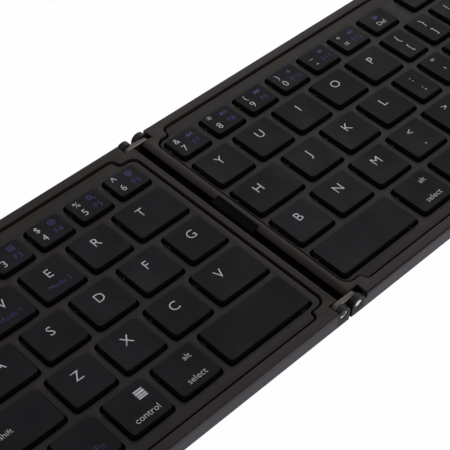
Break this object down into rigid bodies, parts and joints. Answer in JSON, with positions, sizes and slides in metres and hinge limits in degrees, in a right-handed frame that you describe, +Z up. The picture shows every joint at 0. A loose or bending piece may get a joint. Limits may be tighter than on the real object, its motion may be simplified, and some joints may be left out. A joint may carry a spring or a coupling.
{
  "type": "folding keyboard",
  "caption": "Flat two-leaf keyboard that folds in half on a double-axis hinge, with chiclet keys in a framed plate on each leaf.",
  "frame": {"origin": "on the table under the middle of the fold, halfway between front and back", "axes": "+X along the keyboard to the right, +Y away from the user, +Z up out of the keys"},
  "size_m": [0.281, 0.0948, 0.0079],
  "materials": {
    "shell_metal": "satin anodised dark grey",
    "frame_plastic": "satin warm dark grey",
    "plate_plastic": "satin warm dark grey",
    "support_steel": "stamped sheet",
    "membrane_film": "printed film",
    "dome_rubber": "moulded",
    "clip_plastic": "moulded",
    "magnet_plating": "nickel plated",
    "foot_rubber": "matt",
    "screw_steel": "blackened",
    "battery_pouch": "foil pouch",
    "board_green": "solder mask",
    "socket_steel": "drawn shell",
    "link_metal": "satin",
    "pin_metal": "polished",
    "cover_plastic": "matt black",
    "cable_film": "polyimide film",
    "cap_plastic": "matt near-black with printed legends"
  },
  "bodies": {
    "left_half": {"left_base_shell": "shell_metal", "left_top_frame": "frame_plastic", "left_key_plate": "plate_plastic", "left_support_plate": "support_steel", "left_switch_membrane": "membrane_film", "left_rubber_domes": "dome_rubber", "left_scissor_clips": "clip_plastic", "left_magnets": "magnet_plating", "left_feet": "foot_rubber", "left_screws": "screw_steel", "left_battery": "battery_pouch"},
    "hinge_links": {"front_link": "link_metal", "rear_link": "link_metal", "hinge_pins": "pin_metal"},
    "right_half": {"right_base_shell": "shell_metal", "right_top_frame": "frame_plastic", "right_key_plate": "plate_plastic", "right_support_plate": "support_steel", "right_switch_membrane": "membrane_film", "right_rubber_domes": "dome_rubber", "right_scissor_clips": "clip_plastic", "right_magnets": "magnet_plating", "right_feet": "foot_rubber", "right_screws": "screw_steel", "main_board": "board_green", "charging_socket": "socket_steel", "cable_cover": "cover_plastic", "flex_cable": "cable_film"},
    "key_v": {"key_v": "cap_plastic"},
    "key_c": {"key_c": "cap_plastic"},
    "key_x": {"key_x": "cap_plastic"},
    "key_z": {"key_z": "cap_plastic"},
    "key_g": {"key_g": "cap_plastic"},
    "key_f": {"key_f": "cap_plastic"},
    "key_d": {"key_d": "cap_plastic"},
    "key_s": {"key_s": "cap_plastic"},
    "key_a": {"key_a": "cap_plastic"},
    "key_t": {"key_t": "cap_plastic"},
    "key_r": {"key_r": "cap_plastic"},
    "key_e": {"key_e": "cap_plastic"},
    "key_w": {"key_w": "cap_plastic"},
    "key_q": {"key_q": "cap_plastic"},
    "key_b": {"key_b": "cap_plastic"},
    "key_n": {"key_n": "cap_plastic"},
    "key_m": {"key_m": "cap_plastic"},
    "key_h": {"key_h": "cap_plastic"},
    "key_j": {"key_j": "cap_plastic"},
    "key_k": {"key_k": "cap_plastic"},
    "key_l": {"key_l": "cap_plastic"},
    "key_y": {"key_y": "cap_plastic"},
    "key_u": {"key_u": "cap_plastic"},
    "key_i": {"key_i": "cap_plastic"},
    "key_o": {"key_o": "cap_plastic"},
    "key_p": {"key_p": "cap_plastic"},
    "left_space_bar_body": {"left_space_bar": "cap_plastic"},
    "right_space_bar_body": {"right_space_bar": "cap_plastic"},
    "left_number_keys_body": {"left_number_keys": "cap_plastic"},
    "right_number_keys_body": {"right_number_keys": "cap_plastic"},
    "left_side_keys_body": {"left_side_keys": "cap_plastic"},
    "right_side_keys_body": {"right_side_keys": "cap_plastic"}
  },
  "joints": [
    {"name": "left_pivot", "type": "hinge", "parent": "left_half", "child": "hinge_links", "pos_m": [-0.0032, 0, 0.0048], "axis": [0, -1, 0], "range_deg": [0, 90]},
    {"name": "right_pivot", "type": "hinge", "parent": "hinge_links", "child": "right_half", "pos_m": [0.0032, 0, 0.0048], "axis": [0, -1, 0], "range_deg": [0, 90]},
    {"name": "press_v", "type": "slide", "parent": "left_half", "child": "key_v", "axis": [0, 0, -1], "range_m": [0, 0.0012], "stiffness_N_per_m": 400, "springref_m": -0.0004, "deforming": ["left_rubber_domes", "left_scissor_clips"]},
    {"name": "press_c", "type": "slide", "parent": "left_half", "child": "key_c", "axis": [0, 0, -1], "range_m": [0, 0.0012], "stiffness_N_per_m": 400, "springref_m": -0.0004, "deforming": ["left_rubber_domes", "left_scissor_clips"]},
    {"name": "press_x", "type": "slide", "parent": "left_half", "child": "key_x", "axis": [0, 0, -1], "range_m": [0, 0.0012], "stiffness_N_per_m": 400, "springref_m": -0.0004, "deforming": ["left_rubber_domes", "left_scissor_clips"]},
    {"name": "press_z", "type": "slide", "parent": "left_half", "child": "key_z", "axis": [0, 0, -1], "range_m": [0, 0.0012], "stiffness_N_per_m": 400, "springref_m": -0.0004, "deforming": ["left_rubber_domes", "left_scissor_clips"]},
    {"name": "press_g", "type": "slide", "parent": "left_half", "child": "key_g", "axis": [0, 0, -1], "range_m": [0, 0.0012], "stiffness_N_per_m": 400, "springref_m": -0.0004, "deforming": ["left_rubber_domes", "left_scissor_clips"]},
    {"name": "press_f", "type": "slide", "parent": "left_half", "child": "key_f", "axis": [0, 0, -1], "range_m": [0, 0.0012], "stiffness_N_per_m": 400, "springref_m": -0.0004, "deforming": ["left_rubber_domes", "left_scissor_clips"]},
    {"name": "press_d", "type": "slide", "parent": "left_half", "child": "key_d", "axis": [0, 0, -1], "range_m": [0, 0.0012], "stiffness_N_per_m": 400, "springref_m": -0.0004, "deforming": ["left_rubber_domes", "left_scissor_clips"]},
    {"name": "press_s", "type": "slide", "parent": "left_half", "child": "key_s", "axis": [0, 0, -1], "range_m": [0, 0.0012], "stiffness_N_per_m": 400, "springref_m": -0.0004, "deforming": ["left_rubber_domes", "left_scissor_clips"]},
    {"name": "press_a", "type": "slide", "parent": "left_half", "child": "key_a", "axis": [0, 0, -1], "range_m": [0, 0.0012], "stiffness_N_per_m": 400, "springref_m": -0.0004, "deforming": ["left_rubber_domes", "left_scissor_clips"]},
    {"name": "press_t", "type": "slide", "parent": "left_half", "child": "key_t", "axis": [0, 0, -1], "range_m": [0, 0.0012], "stiffness_N_per_m": 400, "springref_m": -0.0004, "deforming": ["left_rubber_domes", "left_scissor_clips"]},
    {"name": "press_r", "type": "slide", "parent": "left_half", "child": "key_r", "axis": [0, 0, -1], "range_m": [0, 0.0012], "stiffness_N_per_m": 400, "springref_m": -0.0004, "deforming": ["left_rubber_domes", "left_scissor_clips"]},
    {"name": "press_e", "type": "slide", "parent": "left_half", "child": "key_e", "axis": [0, 0, -1], "range_m": [0, 0.0012], "stiffness_N_per_m": 400, "springref_m": -0.0004, "deforming": ["left_rubber_domes", "left_scissor_clips"]},
    {"name": "press_w", "type": "slide", "parent": "left_half", "child": "key_w", "axis": [0, 0, -1], "range_m": [0, 0.0012], "stiffness_N_per_m": 400, "springref_m": -0.0004, "deforming": ["left_rubber_domes", "left_scissor_clips"]},
    {"name": "press_q", "type": "slide", "parent": "left_half", "child": "key_q", "axis": [0, 0, -1], "range_m": [0, 0.0012], "stiffness_N_per_m": 400, "springref_m": -0.0004, "deforming": ["left_rubber_domes", "left_scissor_clips"]},
    {"name": "press_b", "type": "slide", "parent": "right_half", "child": "key_b", "axis": [0, 0, -1], "range_m": [0, 0.0012], "stiffness_N_per_m": 400, "springref_m": -0.0004, "deforming": ["right_rubber_domes", "right_scissor_clips"]},
    {"name": "press_n", "type": "slide", "parent": "right_half", "child": "key_n", "axis": [0, 0, -1], "range_m": [0, 0.0012], "stiffness_N_per_m": 400, "springref_m": -0.0004, "deforming": ["right_rubber_domes", "right_scissor_clips"]},
    {"name": "press_m", "type": "slide", "parent": "right_half", "child": "key_m", "axis": [0, 0, -1], "range_m": [0, 0.0012], "stiffness_N_per_m": 400, "springref_m": -0.0004, "deforming": ["right_rubber_domes", "right_scissor_clips"]},
    {"name": "press_h", "type": "slide", "parent": "right_half", "child": "key_h", "axis": [0, 0, -1], "range_m": [0, 0.0012], "stiffness_N_per_m": 400, "springref_m": -0.0004, "deforming": ["right_rubber_domes", "right_scissor_clips"]},
    {"name": "press_j", "type": "slide", "parent": "right_half", "child": "key_j", "axis": [0, 0, -1], "range_m": [0, 0.0012], "stiffness_N_per_m": 400, "springref_m": -0.0004, "deforming": ["right_rubber_domes", "right_scissor_clips"]},
    {"name": "press_k", "type": "slide", "parent": "right_half", "child": "key_k", "axis": [0, 0, -1], "range_m": [0, 0.0012], "stiffness_N_per_m": 400, "springref_m": -0.0004, "deforming": ["right_rubber_domes", "right_scissor_clips"]},
    {"name": "press_l", "type": "slide", "parent": "right_half", "child": "key_l", "axis": [0, 0, -1], "range_m": [0, 0.0012], "stiffness_N_per_m": 400, "springref_m": -0.0004, "deforming": ["right_rubber_domes", "right_scissor_clips"]},
    {"name": "press_y", "type": "slide", "parent": "right_half", "child": "key_y", "axis": [0, 0, -1], "range_m": [0, 0.0012], "stiffness_N_per_m": 400, "springref_m": -0.0004, "deforming": ["right_rubber_domes", "right_scissor_clips"]},
    {"name": "press_u", "type": "slide", "parent": "right_half", "child": "key_u", "axis": [0, 0, -1], "range_m": [0, 0.0012], "stiffness_N_per_m": 400, "springref_m": -0.0004, "deforming": ["right_rubber_domes", "right_scissor_clips"]},
    {"name": "press_i", "type": "slide", "parent": "right_half", "child": "key_i", "axis": [0, 0, -1], "range_m": [0, 0.0012], "stiffness_N_per_m": 400, "springref_m": -0.0004, "deforming": ["right_rubber_domes", "right_scissor_clips"]},
    {"name": "press_o", "type": "slide", "parent": "right_half", "child": "key_o", "axis": [0, 0, -1], "range_m": [0, 0.0012], "stiffness_N_per_m": 400, "springref_m": -0.0004, "deforming": ["right_rubber_domes", "right_scissor_clips"]},
    {"name": "press_p", "type": "slide", "parent": "right_half", "child": "key_p", "axis": [0, 0, -1], "range_m": [0, 0.0012], "stiffness_N_per_m": 400, "springref_m": -0.0004, "deforming": ["right_rubber_domes", "right_scissor_clips"]},
    {"name": "press_left_space_bar", "type": "slide", "parent": "left_half", "child": "left_space_bar_body", "axis": [0, 0, -1], "range_m": [0, 0.0012], "stiffness_N_per_m": 400, "springref_m": -0.0004, "deforming": ["left_rubber_domes", "left_scissor_clips"]},
    {"name": "press_right_space_bar", "type": "slide", "parent": "right_half", "child": "right_space_bar_body", "axis": [0, 0, -1], "range_m": [0, 0.0012], "stiffness_N_per_m": 400, "springref_m": -0.0004, "deforming": ["right_rubber_domes", "right_scissor_clips"]},
    {"name": "press_left_number_keys", "type": "slide", "parent": "left_half", "child": "left_number_keys_body", "axis": [0, 0, -1], "range_m": [0, 0.0012], "stiffness_N_per_m": 3200, "springref_m": -0.0004, "deforming": ["left_rubber_domes", "left_scissor_clips"]},
    {"name": "press_right_number_keys", "type": "slide", "parent": "right_half", "child": "right_number_keys_body", "axis": [0, 0, -1], "range_m": [0, 0.0012], "stiffness_N_per_m": 3200, "springref_m": -0.0004, "deforming": ["right_rubber_domes", "right_scissor_clips"]},
    {"name": "press_left_side_keys", "type": "slide", "parent": "left_half", "child": "left_side_keys_body", "axis": [0, 0, -1], "range_m": [0, 0.0012], "stiffness_N_per_m": 3600, "springref_m": -0.0004, "deforming": ["left_rubber_domes", "left_scissor_clips"]},
    {"name": "press_right_side_keys", "type": "slide", "parent": "right_half", "child": "right_side_keys_body", "axis": [0, 0, -1], "range_m": [0, 0.0012], "stiffness_N_per_m": 6400, "springref_m": -0.0004, "deforming": ["right_rubber_domes", "right_scissor_clips"]}
  ]
}
